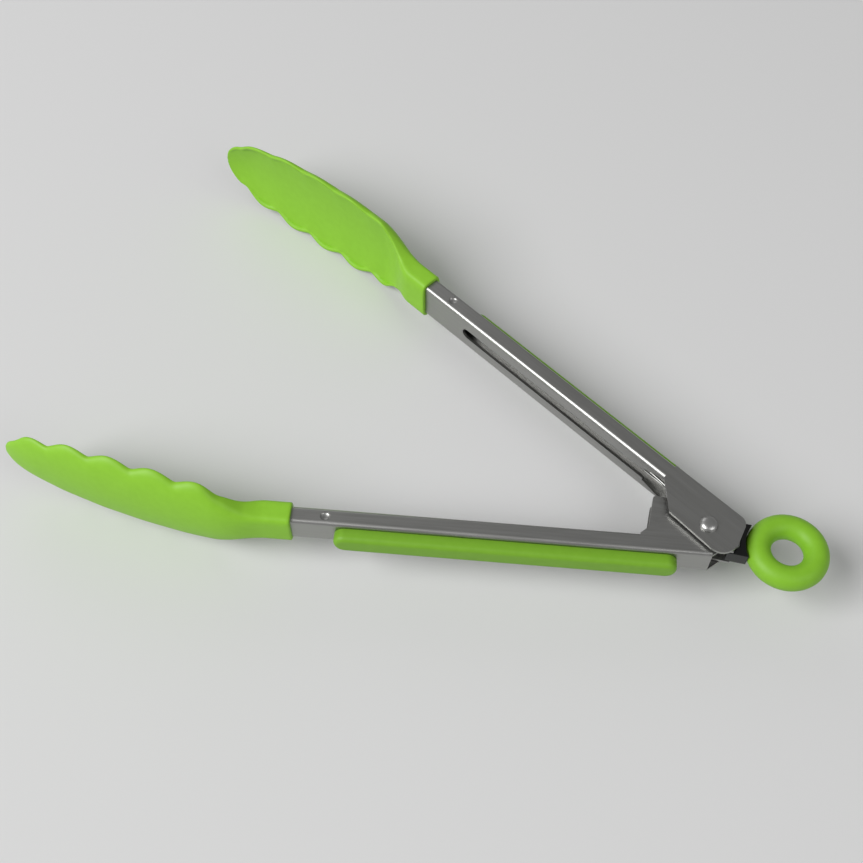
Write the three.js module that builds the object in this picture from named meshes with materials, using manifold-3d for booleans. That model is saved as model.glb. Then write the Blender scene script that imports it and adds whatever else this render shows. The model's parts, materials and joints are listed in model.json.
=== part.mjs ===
// Spring loaded kitchen tongs with a pull-ring lock, lying open on one side.
// Millimetres. Z is the pivot axis, X runs from the heads to the ring, Y from the lower arm to the upper one.
// The origin is under the middle of the open tongs, on the surface that the heads lie on.
import * as THREE from 'three';
import { mergeVertices } from 'three/addons/utils/BufferGeometryUtils.js';
import Module from 'manifold-3d';

// Driving dimensions ---------------------------------------------------------------------------

const PIVOT_AT = new THREE.Vector3(87.524, -5.033, 18); // the pivot axis and mid plane, from the origin
const HALF_OPEN = 20.3; // degrees between each arm and the middle line
const LOCK_SWING = 12.2; // degrees that the lock leans towards the upper arm
const GAP = 0.3; // clearance between pieces that touch on the real object

const STEEL = 0.9; // sheet thickness of the arms and lock plates
const WALL_HEIGHT = 5.8; // height of an arm's side walls
const INNER_FACE = -3.4; // offset of an arm's slotted face from the line through the pivot
const WEB_FACE = INNER_FACE - WALL_HEIGHT;
const BEND_RADIUS = 1.3;
const UPPER_WIDTH = 13.6; // the upper arm's ears are outside the lower arm's
const LOWER_WIDTH = 9.8;
const ARM_END = 133; // end of the steel, inside the head
const HEAD_START = 124; // mouth of the head's sleeve
const WEB_START = -1.2;
const SLOT_HALF = 2.1;
const SLOT_END = 106;
const LIP_START = 26.8; // where the slotted face begins, beyond the lock plates
const LIP_SLANT = 0.31; // how much closer to the middle their ends get for each millimetre along
const EAR_END = 19.8; // where the ears grow out of the side walls

const RIVET_RADIUS = 1.5;
const PIVOT_HOLE = 1.85;
const RIVET_HEAD_RADIUS = 2.7;
const RIVET_HEAD_HEIGHT = 1.3;

const GRIPS = {
  upper: { start: 15.5, end: 107, thickness: 2.7 },
  lower: { start: 8.5, end: 110.8, thickness: 4.2 },
};
const GRIP_HALF = 3.6;
const GRIP_BEVEL = 1.6;
const GRIP_POSTS = [22, 58, 79, 100];
const POST_RADIUS = 1.5;
const POST_CAP_RADIUS = 2.2;
const POST_CAP_HEIGHT = 0.6;

const DIMPLE_AT = 113.7;
const DIMPLE_RADIUS = 1.3;
const DIMPLE_DEPTH = 0.45;

// Each head: its length from the sleeve's mouth, its own slope beside the common curve, how much the tip levels
// out, and its scallops.
const HEADS = {
  upper: { length: 100.8, turn: -0.06, level: 0.0004, halfWidth: 17, pitch: 15.3, bump: 40.5 },
  lower: { length: 93.2, turn: 0.065, level: 0.004, halfWidth: 15, pitch: 13.9, bump: 41.4 },
};
const HEAD_WIDEST = 0.52; // of its length
const HEAD_ROUNDNESS = 2.4;
const HEAD_DEPTH = 6; // from the rim to the back
const NECK_START = 8;
const NECK_END = 27;
const SLEEVE_WALL = 1.2;
const SLEEVE_SQUARENESS = 0.4;
const SCALLOP_DEPTH = 1;
const SCALLOP_RISE = 0.45;
const SCALLOP_SHARPNESS = 0.62;
const RIM_WIDTH = 1.6;
const RIM_EDGE = 0.5;
const TIP_ROUND = 12;
const RIM_STEP = 0.7; // from the rim down to the edge of the dished face
const DISH = 1.6;
const BACK_STEPS = 8;
const FACE_STEPS = 6;
const CORE_THICKNESS = 0.8;
const CORE_STEPS = 6;
const CORE_MARGIN = 4.6;
const CORE_SHORT = 24; // how far the core ends before the tip
const TANG_START = -13;
const TANG_END = 9.5;

const LOCK_TRAVEL = 7;
const PLATE_Z = 2.8; // inner face of each lock plate
const PLATE_FRONT = -17;
const PLATE_HALF = 8.3;
const PLATE_CORNER = 1;
const PLATE_REAR = 8.6;
const BODY_HALF = 5.6;
const BODY_HALF_THICKNESS = 2.5;
const BODY_FRONT = 6.8;
const BODY_MOUTH = 4.85; // half opening at the front, wide enough for the spring's legs
const BUSH_RADIUS = 2.4;
const RING_AT = 24.6; // ring centre from the pivot
const RING_RADIUS = 8.65; // centre line of the ring
const RING_TUBE = 3.8;
const CORE_TUBE = 2.3;
const NECK_HALF = 2.9;

const WIRE_RADIUS = 0.5;
const COIL_RADIUS = 2.45;
const COIL_TURNS = 2;
const COIL_HALF = 1.75;
const COIL_STEPS = 36;
const LEG_LENGTH = 47;
const LEG_SIDE = 1.2;
const KNEE_AT = 19;
const KNEE_DEPTH = -5.8;

// Materials ------------------------------------------------------------------------------------

const steel = () => new THREE.MeshStandardMaterial({ color: 0x9a9a98, roughness: 0.35, metalness: 1 });
const brightSteel = () => new THREE.MeshStandardMaterial({ color: 0xc8c8c8, roughness: 0.18, metalness: 1 });
const springSteel = () => new THREE.MeshStandardMaterial({ color: 0x8c8c8a, roughness: 0.3, metalness: 1 });
const greenSilicone = () => new THREE.MeshStandardMaterial({ color: 0x7fbf34, roughness: 0.55, metalness: 0 });
const blackNylon = () => new THREE.MeshStandardMaterial({ color: 0x0b0b0c, roughness: 0.25, metalness: 0 });
const whiteNylon = () => new THREE.MeshStandardMaterial({ color: 0xd9d9d2, roughness: 0.5, metalness: 0 });

// Solid helpers --------------------------------------------------------------------------------

const wasm = await Module();
wasm.setup();

const TAU = Math.PI * 2;
const radians = THREE.MathUtils.degToRad;

function solid(geometry) {
  const bare = geometry.clone();
  for (const name of Object.keys(bare.attributes)) {
    if (name !== 'position') bare.deleteAttribute(name);
  }
  const merged = mergeVertices(bare, 1e-4);
  const mesh = new wasm.Mesh({
    numProp: 3,
    vertProperties: new Float32Array(merged.attributes.position.array),
    triVerts: new Uint32Array(merged.index.array),
  });
  return new wasm.Manifold(mesh);
}

function geometryOf(manifold) {
  const mesh = manifold.getMesh();
  const geometry = new THREE.BufferGeometry();
  geometry.setAttribute('position', new THREE.BufferAttribute(mesh.vertProperties, 3));
  geometry.setIndex(new THREE.BufferAttribute(mesh.triVerts, 1));
  return geometry;
}

function join(...solids) {
  return solids.reduce((whole, next) => whole.add(next));
}

function cut(whole, ...solids) {
  return solids.reduce((left, next) => left.subtract(next), whole);
}

function box(low, high) {
  const size = new THREE.Vector3().subVectors(high, low);
  const geometry = new THREE.BoxGeometry(size.x, size.y, size.z);
  geometry.translate(low.x + size.x / 2, low.y + size.y / 2, low.z + size.z / 2);
  return solid(geometry);
}

// A flat outline in X and Y, extruded between two heights in Z.
function slab(shape, low, high, curveSegments = 8) {
  const geometry = new THREE.ExtrudeGeometry(shape, { depth: high - low, bevelEnabled: false, curveSegments });
  geometry.translate(0, 0, low);
  return solid(geometry);
}

function cylinderZ(radius, low, high, x = 0, y = 0, sides = 24) {
  const geometry = new THREE.CylinderGeometry(radius, radius, high - low, sides);
  geometry.rotateX(Math.PI / 2);
  geometry.translate(x, y, (low + high) / 2);
  return solid(geometry);
}

function cylinderY(radius, low, high, x, z, sides = 16) {
  const geometry = new THREE.CylinderGeometry(radius, radius, high - low, sides);
  geometry.translate(x, (low + high) / 2, z);
  return solid(geometry);
}

// A profile of radius and height, turned about Z.
function lathe(points, segments = 24) {
  const geometry = new THREE.LatheGeometry(points.map(([r, h]) => new THREE.Vector2(r, h)), segments);
  geometry.rotateX(Math.PI / 2);
  return solid(geometry);
}

function roundedBar(halfWidth, low, high, radius) {
  const shape = new THREE.Shape();
  shape.moveTo(-halfWidth + radius, low);
  shape.lineTo(halfWidth - radius, low);
  shape.absarc(halfWidth - radius, low + radius, radius, -Math.PI / 2, 0);
  shape.lineTo(halfWidth, high - radius);
  shape.absarc(halfWidth - radius, high - radius, radius, 0, Math.PI / 2);
  shape.lineTo(-halfWidth + radius, high);
  shape.absarc(-halfWidth + radius, high - radius, radius, Math.PI / 2, Math.PI);
  shape.lineTo(-halfWidth, low + radius);
  shape.absarc(-halfWidth + radius, low + radius, radius, Math.PI, Math.PI * 1.5);
  return shape;
}

// A bar along X whose section, in Z and Y, is a rounded rectangle.
function barAlongX(halfWidth, low, high, radius, from, to, curveSegments = 4) {
  const shape = roundedBar(halfWidth, low, high, radius);
  const geometry = new THREE.ExtrudeGeometry(shape, { depth: to - from, bevelEnabled: false, curveSegments });
  geometry.rotateY(Math.PI / 2);
  geometry.translate(from, 0, 0);
  return solid(geometry);
}

// A closed solid through rings of points, each ring with the same number of points.
function loft(rings) {
  const count = rings[0].length;
  const positions = rings.flat().flatMap((point) => point.toArray());
  const index = [];
  for (let ring = 0; ring + 1 < rings.length; ring += 1) {
    for (let step = 0; step < count; step += 1) {
      const next = (step + 1) % count;
      const a = ring * count + step;
      const b = ring * count + next;
      index.push(a, b, a + count, b, b + count, a + count);
    }
  }
  for (const [ring, flip] of [[0, true], [rings.length - 1, false]]) {
    const middle = positions.length / 3;
    const centre = rings[ring].reduce((sum, point) => sum.add(point), new THREE.Vector3()).divideScalar(count);
    positions.push(...centre.toArray());
    for (let step = 0; step < count; step += 1) {
      const a = ring * count + step;
      const b = ring * count + (step + 1) % count;
      index.push(...(flip ? [b, a, middle] : [a, b, middle]));
    }
  }
  const geometry = new THREE.BufferGeometry();
  geometry.setAttribute('position', new THREE.Float32BufferAttribute(positions, 3));
  geometry.setIndex(index);
  const made = solid(geometry);
  return made.volume() > 0 ? made : solid(flipped(geometry));
}

function flipped(geometry) {
  const turned = geometry.clone();
  const index = turned.index.array;
  for (let corner = 0; corner < index.length; corner += 3) {
    [index[corner], index[corner + 1]] = [index[corner + 1], index[corner]];
  }
  return turned;
}

function mesh(name, manifold, material) {
  const piece = new THREE.Mesh(geometryOf(manifold), material);
  piece.name = name;
  return piece;
}

// Arms -----------------------------------------------------------------------------------------
// An arm is drawn along +X from the pivot, with +Y its inner side, and is turned into place later.

// The ear's outline: a front edge that slopes out from the slotted face, then a rounded end.
function squareEar() {
  const shape = new THREE.Shape();
  shape.moveTo(EAR_END, INNER_FACE);
  shape.lineTo(10.9, 4.8);
  shape.lineTo(-5.2, 5.6);
  shape.quadraticCurveTo(-10.3, 5.4, -10.5, -0.4);
  shape.lineTo(-8.2, -7);
  shape.quadraticCurveTo(-7.4, -9, -5.4, WEB_FACE);
  shape.lineTo(EAR_END, WEB_FACE);
  return shape;
}

function roundEar(radius) {
  const shape = new THREE.Shape();
  shape.moveTo(EAR_END, INNER_FACE);
  shape.lineTo(10.9, 4.8);
  shape.lineTo(2, radius);
  shape.absarc(0, 0, radius, radians(75), radians(235), false);
  shape.lineTo(WEB_START, WEB_FACE);
  shape.lineTo(EAR_END, WEB_FACE);
  return shape;
}

function slotCutter() {
  const shape = new THREE.Shape();
  shape.moveTo(-20, -SLOT_HALF);
  shape.lineTo(SLOT_END - SLOT_HALF, -SLOT_HALF);
  shape.absarc(SLOT_END - SLOT_HALF, 0, SLOT_HALF, -Math.PI / 2, Math.PI / 2, false);
  shape.lineTo(-20, SLOT_HALF);
  const geometry = new THREE.ExtrudeGeometry(shape, { depth: 4, bevelEnabled: false, curveSegments: 6 });
  geometry.rotateX(-Math.PI / 2);
  geometry.translate(0, INNER_FACE - 2, 0);
  return solid(geometry);
}

// The opening near the pivot, where the lips end on a slant between the two walls.
function openEndCutter(inner) {
  const narrow = Math.min(inner, SLOT_HALF + 1);
  const widest = LIP_START - (inner - narrow) / LIP_SLANT;
  const shape = new THREE.Shape();
  shape.moveTo(WEB_START - 1, -inner);
  shape.lineTo(widest, -inner);
  shape.lineTo(LIP_START, -narrow);
  shape.lineTo(LIP_START, narrow);
  shape.lineTo(widest, inner);
  shape.lineTo(WEB_START - 1, inner);
  const geometry = new THREE.ExtrudeGeometry(shape, { depth: WALL_HEIGHT, bevelEnabled: false });
  geometry.rotateX(-Math.PI / 2);
  geometry.translate(0, WEB_FACE + STEEL, 0);
  return solid(geometry);
}

function armSolid(width, nearEar, farEar) {
  const half = width / 2;
  const inner = half - STEEL;
  const outside = barAlongX(half, WEB_FACE, INNER_FACE, BEND_RADIUS, WEB_START, ARM_END);
  const inside = barAlongX(
    inner, WEB_FACE + STEEL, INNER_FACE - STEEL, BEND_RADIUS - STEEL, WEB_START - 1, ARM_END + 1,
  );
  const ears = join(slab(nearEar, inner, half), slab(farEar, -half, -inner));
  const holes = [cylinderZ(PIVOT_HOLE, -half - 1, half + 1)];
  for (const at of GRIP_POSTS) {
    holes.push(cylinderY(POST_RADIUS + GAP, WEB_FACE - 1, WEB_FACE + STEEL + 1, at, 0));
  }
  const dimples = [-1, 1].map((side) => {
    const ball = new THREE.SphereGeometry(DIMPLE_RADIUS, 12, 8);
    ball.scale(1, 1, DIMPLE_DEPTH / DIMPLE_RADIUS);
    ball.translate(DIMPLE_AT, WEB_FACE + WALL_HEIGHT / 2, side * half);
    return solid(ball);
  });
  const shell = cut(outside, inside, openEndCutter(inner), slotCutter());
  return cut(join(shell, ears), ...holes, ...dimples);
}

// Grip pads with moulded posts that snap through the web -----------------------------------------

function gripSolid(side) {
  const { start, end, thickness } = GRIPS[side];
  const flat = GRIP_HALF - GRIP_BEVEL;
  const shape = roundedBar(flat, start + GRIP_BEVEL, end - GRIP_BEVEL, flat - 0.05);
  const geometry = new THREE.ExtrudeGeometry(shape, {
    depth: thickness - GAP - GRIP_BEVEL,
    bevelThickness: GRIP_BEVEL,
    bevelSize: GRIP_BEVEL,
    bevelSegments: 2,
    curveSegments: 3,
  });
  geometry.rotateX(Math.PI / 2);
  geometry.rotateY(Math.PI / 2);
  geometry.translate(0, WEB_FACE - GAP, 0);
  const base = box(
    new THREE.Vector3(0, WEB_FACE - GAP, -2 * GRIP_HALF),
    new THREE.Vector3(end + 5, WEB_FACE + 5, 2 * GRIP_HALF),
  );
  const pad = cut(solid(geometry), base);
  const posts = GRIP_POSTS.map((at) => {
    const capFoot = WEB_FACE + STEEL + GAP;
    const post = cylinderY(POST_RADIUS, WEB_FACE - GAP - 1, capFoot + POST_CAP_HEIGHT / 2, at, 0);
    const cap = cylinderY(POST_CAP_RADIUS, capFoot, capFoot + POST_CAP_HEIGHT, at, 0);
    return join(post, cap);
  });
  return join(pad, ...posts);
}

// Heads ----------------------------------------------------------------------------------------
// A head is drawn from its sleeve's mouth along +X; Y is measured from the middle of the arm's walls.

const ARM_MIDDLE = INNER_FACE - WALL_HEIGHT / 2;
const smooth = (x, from, to) => THREE.MathUtils.smoothstep(x, from, to);
const lerp = THREE.MathUtils.lerp;

// The height of the rim without its bumps.
function baseHeight(x, side) {
  const along = x - NECK_END;
  const { turn, level } = HEADS[side];
  const curve = 0.33 + 0.13 * along + 0.0008 * along * along - level * Math.max(0, x - 78) ** 2;
  return curve + turn * (x - 5);
}

const rimHeight = (x, side) => baseHeight(x, side) + SCALLOP_RISE * scallop(x, side);

// How the thickness runs out towards the tip, from 1 to nearly 0.
function tipTaper(x, side) {
  const into = Math.max(0, x - HEADS[side].length + TIP_ROUND) / TIP_ROUND;
  return Math.sqrt(Math.max(0.04, 1 - into * into));
}

function depthAt(x, side) {
  return (HEAD_DEPTH - 0.00075 * Math.max(0, x - 30) ** 2) * tipTaper(x, side);
}

function baseHalfWidth(x, side) {
  const { length, halfWidth } = HEADS[side];
  const widest = HEAD_WIDEST * length;
  const along = Math.abs(Math.max(x, 14) - widest) / (length - widest);
  return halfWidth * Math.max(0.002, 1 - along ** HEAD_ROUNDNESS) ** (1 / HEAD_ROUNDNESS);
}

// Round bumps between narrower valleys, from -1 to 1.
function scallop(x, side) {
  const { length, pitch, bump } = HEADS[side];
  const fade = smooth(x, 18, 25) * (1 - smooth(x, length - 9, length - 2));
  const wave = Math.cos((Math.PI * (x - bump)) / pitch) ** 2;
  return fade * (2 * (wave + 0.01) ** SCALLOP_SHARPNESS - 1);
}

const rimHalfWidth = (x, side) => baseHalfWidth(x, side) + SCALLOP_DEPTH * scallop(x, side);

// The two faces of the bowl across the head, as heights at a sideways distance z.
function backHeight(x, z, side) {
  const across = Math.min(1, Math.abs(z) / rimHalfWidth(x, side));
  return baseHeight(x, side) - depthAt(x, side) * Math.sqrt(1 - across * across);
}

function faceHeight(x, z, side) {
  const across = z / Math.max(1, rimHalfWidth(x, side) - RIM_WIDTH);
  const dish = RIM_STEP + DISH * Math.max(0, 1 - across * across);
  return baseHeight(x, side) - dish * tipTaper(x, side) ** 2;
}

// One ring of a head at x: the bowl's section, blended from the sleeve's squarish oval.
function headRing(x, side, sleeveHalf) {
  const bowl = smooth(x, NECK_START, NECK_END);
  const rimHalf = rimHalfWidth(x, side);
  const edge = Math.max(0.3 * rimHalf, rimHalf - RIM_WIDTH);
  const rim = rimHeight(x, side);
  const sleeveHeight = WALL_HEIGHT / 2 + SLEEVE_WALL;
  const ring = [];
  const put = (y, z, angle) => {
    const sine = Math.sin(angle);
    const cosine = Math.cos(angle);
    const sleeveZ = sleeveHalf * Math.sign(sine) * Math.abs(sine) ** SLEEVE_SQUARENESS;
    const sleeveY = -sleeveHeight * Math.sign(cosine) * Math.abs(cosine) ** SLEEVE_SQUARENESS;
    ring.push(new THREE.Vector3(x, lerp(sleeveY, y, bowl), lerp(sleeveZ, z, bowl)));
  };
  for (let step = 0; step <= BACK_STEPS; step += 1) {
    const angle = Math.PI * (step / BACK_STEPS - 0.5);
    const flute = scallop(x, side) * (1 - Math.cos(angle));
    const half = baseHalfWidth(x, side) + SCALLOP_DEPTH * flute;
    const high = baseHeight(x, side) + SCALLOP_RISE * flute - RIM_EDGE;
    put(high - (depthAt(x, side) - RIM_EDGE) * Math.cos(angle), half * Math.sin(angle), angle);
  }
  put(rim, rimHalf - RIM_EDGE, Math.PI * 0.56);
  for (let step = 0; step <= FACE_STEPS; step += 1) {
    const across = 1 - (2 * step) / FACE_STEPS;
    put(faceHeight(x, edge * across, side), edge * across, Math.PI * (1 - 0.38 * across));
  }
  put(rim, RIM_EDGE - rimHalf, -Math.PI * 0.56);
  return ring;
}

function headStations(side) {
  const { length, pitch, bump } = HEADS[side];
  const stations = [0, NECK_START, NECK_START + 3, NECK_START + 6, NECK_START + 9];
  for (let x = bump - (7 * pitch) / 5; x < length - 6; x += pitch / 5) stations.push(x);
  stations.push(length - 4.5, length - 2.5, length - 1.2, length - 0.4, length);
  return stations;
}

// The core's ring: a flat tang inside the arm, then a thin dished plate inside the silicone.
function coreRing(x, side, tangHalf, spare) {
  const plate = smooth(x, TANG_END, NECK_END);
  const half = baseHalfWidth(Math.max(x, 20), side) - CORE_MARGIN + spare;
  const thick = CORE_THICKNESS / 2 + spare;
  const tangThick = WALL_HEIGHT / 2 - STEEL - GAP - 0.4 + spare;
  const ring = [];
  for (const face of [-1, 1]) {
    for (let step = 0; step <= CORE_STEPS; step += 1) {
      const across = face * (1 - (2 * step) / CORE_STEPS);
      const middle = (faceHeight(x, half * across, side) + backHeight(x, half * across, side)) / 2;
      ring.push(new THREE.Vector3(
        x,
        lerp(face * tangThick, middle + face * thick, plate),
        lerp((tangHalf + spare) * across, half * across, plate),
      ));
    }
  }
  return ring;
}

function coreSolid(side, tangHalf, spare = 0) {
  const end = HEADS[side].length - CORE_SHORT;
  const stations = [TANG_START - spare, 0];
  for (let x = TANG_END; x < end - 2; x += 5) stations.push(x);
  stations.push(end + spare);
  return loft(stations.map((x) => coreRing(x, side, tangHalf, spare)));
}

function headSolid(side, width) {
  const half = width / 2;
  const outside = loft(headStations(side).map((x) => headRing(x, side, half + SLEEVE_WALL)));
  const high = WALL_HEIGHT / 2 + GAP;
  const pocket = barAlongX(half + GAP, -high, high, BEND_RADIUS, -1, ARM_END - HEAD_START + GAP);
  return cut(outside, pocket, coreSolid(side, half - STEEL - GAP, GAP));
}

// Pivot ----------------------------------------------------------------------------------------

function rivetSolid() {
  const foot = UPPER_WIDTH / 2 + GAP;
  const dome = (t) => [RIVET_HEAD_RADIUS * Math.cos(t), RIVET_HEAD_HEIGHT * Math.sin(t)];
  const profile = [[0, -foot - RIVET_HEAD_HEIGHT]];
  for (let step = 1; step <= 4; step += 1) {
    const [r, h] = dome((Math.PI / 2) * (1 - step / 4));
    profile.push([r, -foot - h]);
  }
  profile.push([RIVET_RADIUS, -foot], [RIVET_RADIUS, foot]);
  for (let step = 0; step <= 3; step += 1) {
    const [r, h] = dome((Math.PI / 2) * (step / 4));
    profile.push([r, foot + h]);
  }
  profile.push([0, foot + RIVET_HEAD_HEIGHT]);
  return lathe(profile);
}

function tubeSolid(innerRadius, outerRadius, low, high) {
  return lathe([
    [innerRadius, low], [outerRadius, low], [outerRadius, high], [innerRadius, high], [innerRadius, low],
  ]);
}

// The torsion spring: one wire from the upper arm's web, round the rivet, to the lower arm's web.
function springSolid() {
  const restOn = WEB_FACE + STEEL + GAP + WIRE_RADIUS;
  const open = radians(HALF_OPEN);
  const inArm = (side, along, inward) => new THREE.Vector3(
    -along * Math.cos(open) - inward * Math.sin(open),
    side * (along * Math.sin(open) - inward * Math.cos(open)),
    -side * LEG_SIDE,
  );
  const knee = inArm(1, KNEE_AT, KNEE_DEPTH);
  const start = Math.atan2(knee.y, knee.x) - Math.acos(COIL_RADIUS / Math.hypot(knee.x, knee.y));
  const turn = TAU * COIL_TURNS + 2 * start;
  const points = [inArm(1, LEG_LENGTH, restOn), inArm(1, (LEG_LENGTH + KNEE_AT) / 2, (restOn + KNEE_DEPTH) / 2)];
  points.push(knee);
  for (let step = 0; step <= COIL_STEPS; step += 1) {
    const angle = start - (turn * step) / COIL_STEPS;
    const z = -COIL_HALF + (2 * COIL_HALF * step) / COIL_STEPS;
    points.push(new THREE.Vector3(COIL_RADIUS * Math.cos(angle), COIL_RADIUS * Math.sin(angle), z));
  }
  points.push(inArm(-1, KNEE_AT, KNEE_DEPTH));
  points.push(inArm(-1, (LEG_LENGTH + KNEE_AT) / 2, (restOn + KNEE_DEPTH) / 2), inArm(-1, LEG_LENGTH, restOn));
  const wire = new THREE.Shape();
  wire.absarc(0, 0, WIRE_RADIUS, 0, TAU, false);
  const curve = new THREE.CatmullRomCurve3(points, false, 'centripetal');
  const geometry = new THREE.ExtrudeGeometry(wire, {
    steps: 96,
    bevelEnabled: false,
    curveSegments: 3,
    extrudePath: curve,
  });
  return solid(geometry);
}

// Lock -----------------------------------------------------------------------------------------
// The lock is drawn along X through the pivot, and is swung into place later.

function platesOutline() {
  const shape = new THREE.Shape();
  const neck = BUSH_RADIUS + GAP;
  const below = [
    [PLATE_FRONT, -PLATE_HALF + PLATE_CORNER],
    [PLATE_FRONT + PLATE_CORNER / 3, -PLATE_HALF + PLATE_CORNER / 3],
    [PLATE_FRONT + PLATE_CORNER, -PLATE_HALF],
    [-9.5, -PLATE_HALF],
    [-6.5, -BODY_HALF],
    [PLATE_REAR, -BODY_HALF],
    [PLATE_REAR, -neck],
  ];
  shape.moveTo(...below[0]);
  for (const corner of below.slice(1)) shape.lineTo(...corner);
  shape.absarc(0, 0, neck, -Math.PI / 2, Math.PI / 2, true);
  for (const [x, y] of below.toReversed()) shape.lineTo(x, -y);
  return shape;
}

function lockBodyOutline() {
  const coilRoom = COIL_RADIUS + WIRE_RADIUS + GAP + 0.4;
  const slotEnd = LOCK_TRAVEL + COIL_RADIUS + WIRE_RADIUS + GAP;
  const seat = RING_RADIUS + RING_TUBE + GAP;
  const seatX = RING_AT - Math.sqrt(seat * seat - BODY_HALF * BODY_HALF);
  const shape = new THREE.Shape();
  shape.moveTo(BODY_FRONT, -BODY_HALF);
  shape.lineTo(seatX, -BODY_HALF);
  const seatAngle = Math.asin(BODY_HALF / seat);
  shape.absarc(RING_AT, 0, seat, Math.PI + seatAngle, Math.PI - seatAngle, true);
  shape.lineTo(BODY_FRONT, BODY_HALF);
  shape.lineTo(BODY_FRONT, BODY_MOUTH);
  shape.lineTo(slotEnd - 1, coilRoom);
  shape.lineTo(slotEnd, coilRoom - 1);
  shape.lineTo(slotEnd, -coilRoom + 1);
  shape.lineTo(slotEnd - 1, -coilRoom);
  shape.lineTo(BODY_FRONT, -BODY_MOUTH);
  return shape;
}

function torus(radius, tube, around, section) {
  const geometry = new THREE.TorusGeometry(radius, tube, section, around);
  geometry.translate(RING_AT, 0, 0);
  return solid(geometry);
}

function neckSolid(spare) {
  const from = LOCK_TRAVEL + COIL_RADIUS + WIRE_RADIUS + GAP + 0.3;
  return box(
    new THREE.Vector3(from, -NECK_HALF - spare, -BODY_HALF_THICKNESS + 0.5 - spare),
    new THREE.Vector3(RING_AT - RING_RADIUS, NECK_HALF + spare, BODY_HALF_THICKNESS - 0.5 + spare),
  );
}

function lockBodySolid() {
  const body = slab(lockBodyOutline(), -BODY_HALF_THICKNESS, BODY_HALF_THICKNESS);
  return join(body, neckSolid(0), torus(RING_RADIUS, CORE_TUBE, 24, 8));
}

function ringCoverSolid() {
  return cut(
    torus(RING_RADIUS, RING_TUBE, 32, 12),
    torus(RING_RADIUS, CORE_TUBE + GAP, 24, 8),
    neckSolid(GAP),
  );
}

// Assembly -------------------------------------------------------------------------------------

function armGroup(side) {
  const upper = side === 'upper';
  const width = upper ? UPPER_WIDTH : LOWER_WIDTH;
  const arm = new THREE.Group();
  const nearEar = upper ? squareEar() : roundEar(7.9);
  const farEar = upper ? roundEar(7) : roundEar(7.9);
  arm.add(mesh(`${side}_arm`, armSolid(width, nearEar, farEar), steel()));
  arm.add(mesh(`${side}_grip`, gripSolid(side), greenSilicone()));
  const head = new THREE.Group();
  head.position.set(HEAD_START, ARM_MIDDLE, 0);
  head.add(mesh(`${side}_head`, headSolid(side, width), greenSilicone()));
  head.add(mesh(`${side}_head_core`, coreSolid(side, width / 2 - STEEL - GAP), whiteNylon()));
  arm.add(head);
  return arm;
}

function upperArm() {
  const group = armGroup('upper');
  group.rotation.z = Math.PI - radians(HALF_OPEN);
  return group;
}

// The lower arm is drawn as the upper one and then turned over about its own length.
function lowerArm() {
  const flip = new THREE.Group();
  flip.add(armGroup('lower'));
  flip.rotation.x = Math.PI;
  const group = new THREE.Group();
  group.add(flip);
  group.rotation.z = Math.PI + radians(HALF_OPEN);
  return group;
}

function pivotGroup() {
  const group = new THREE.Group();
  group.add(mesh('pivot_rivet', rivetSolid(), brightSteel()));
  group.add(mesh('torsion_spring', springSolid(), springSteel()));
  const washerFoot = LOWER_WIDTH / 2 + GAP;
  const washerTop = UPPER_WIDTH / 2 - STEEL - GAP;
  for (const [name, sign] of [['near', 1], ['far', -1]]) {
    const washer = mesh(`pivot_washer_${name}`, tubeSolid(PIVOT_HOLE, 4, washerFoot, washerTop), brightSteel());
    const bush = mesh(
      `guide_bush_${name}`, tubeSolid(PIVOT_HOLE, BUSH_RADIUS, PLATE_Z, PLATE_Z + STEEL), brightSteel(),
    );
    if (sign < 0) {
      washer.rotation.x = Math.PI;
      bush.rotation.x = Math.PI;
    }
    group.add(washer, bush);
  }
  return group;
}

function lockGroup() {
  const lock = new THREE.Group();
  lock.rotation.z = radians(LOCK_SWING);
  lock.add(mesh('lock_plate_near', slab(platesOutline(), PLATE_Z, PLATE_Z + STEEL), steel()));
  lock.add(mesh('lock_plate_far', slab(platesOutline(), -PLATE_Z - STEEL, -PLATE_Z), steel()));
  lock.add(mesh('lock_body', lockBodySolid(), blackNylon()));
  lock.add(mesh('ring_cover', ringCoverSolid(), greenSilicone()));
  return lock;
}

const tongs = new THREE.Group();
tongs.position.copy(PIVOT_AT);
tongs.add(upperArm(), lowerArm(), pivotGroup(), lockGroup());

export default tongs;
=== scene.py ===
"""Kitchen tongs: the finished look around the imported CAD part.

Sizes are in millimetres, and settle() brings each finished piece into the frame's metres.
"""

import json
import math

import bmesh
import bpy
import numpy as np
from mathutils import Matrix, Vector


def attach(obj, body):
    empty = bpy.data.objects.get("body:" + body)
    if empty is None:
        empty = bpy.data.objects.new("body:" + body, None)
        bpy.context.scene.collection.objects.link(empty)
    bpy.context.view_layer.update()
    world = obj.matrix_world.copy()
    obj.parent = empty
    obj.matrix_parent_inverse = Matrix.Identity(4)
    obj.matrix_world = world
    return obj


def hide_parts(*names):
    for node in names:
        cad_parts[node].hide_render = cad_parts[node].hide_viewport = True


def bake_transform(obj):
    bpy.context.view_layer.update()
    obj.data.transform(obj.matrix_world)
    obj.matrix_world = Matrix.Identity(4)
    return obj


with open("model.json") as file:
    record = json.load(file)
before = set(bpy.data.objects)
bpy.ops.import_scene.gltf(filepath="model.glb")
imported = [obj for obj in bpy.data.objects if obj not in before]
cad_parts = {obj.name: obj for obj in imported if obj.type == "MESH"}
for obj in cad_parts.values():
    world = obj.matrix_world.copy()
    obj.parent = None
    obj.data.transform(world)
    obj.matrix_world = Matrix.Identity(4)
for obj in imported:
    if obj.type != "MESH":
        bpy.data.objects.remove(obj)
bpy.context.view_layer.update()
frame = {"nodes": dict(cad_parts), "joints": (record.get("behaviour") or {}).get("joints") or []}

MM = 0.001
QUARTER = math.pi / 2

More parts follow.
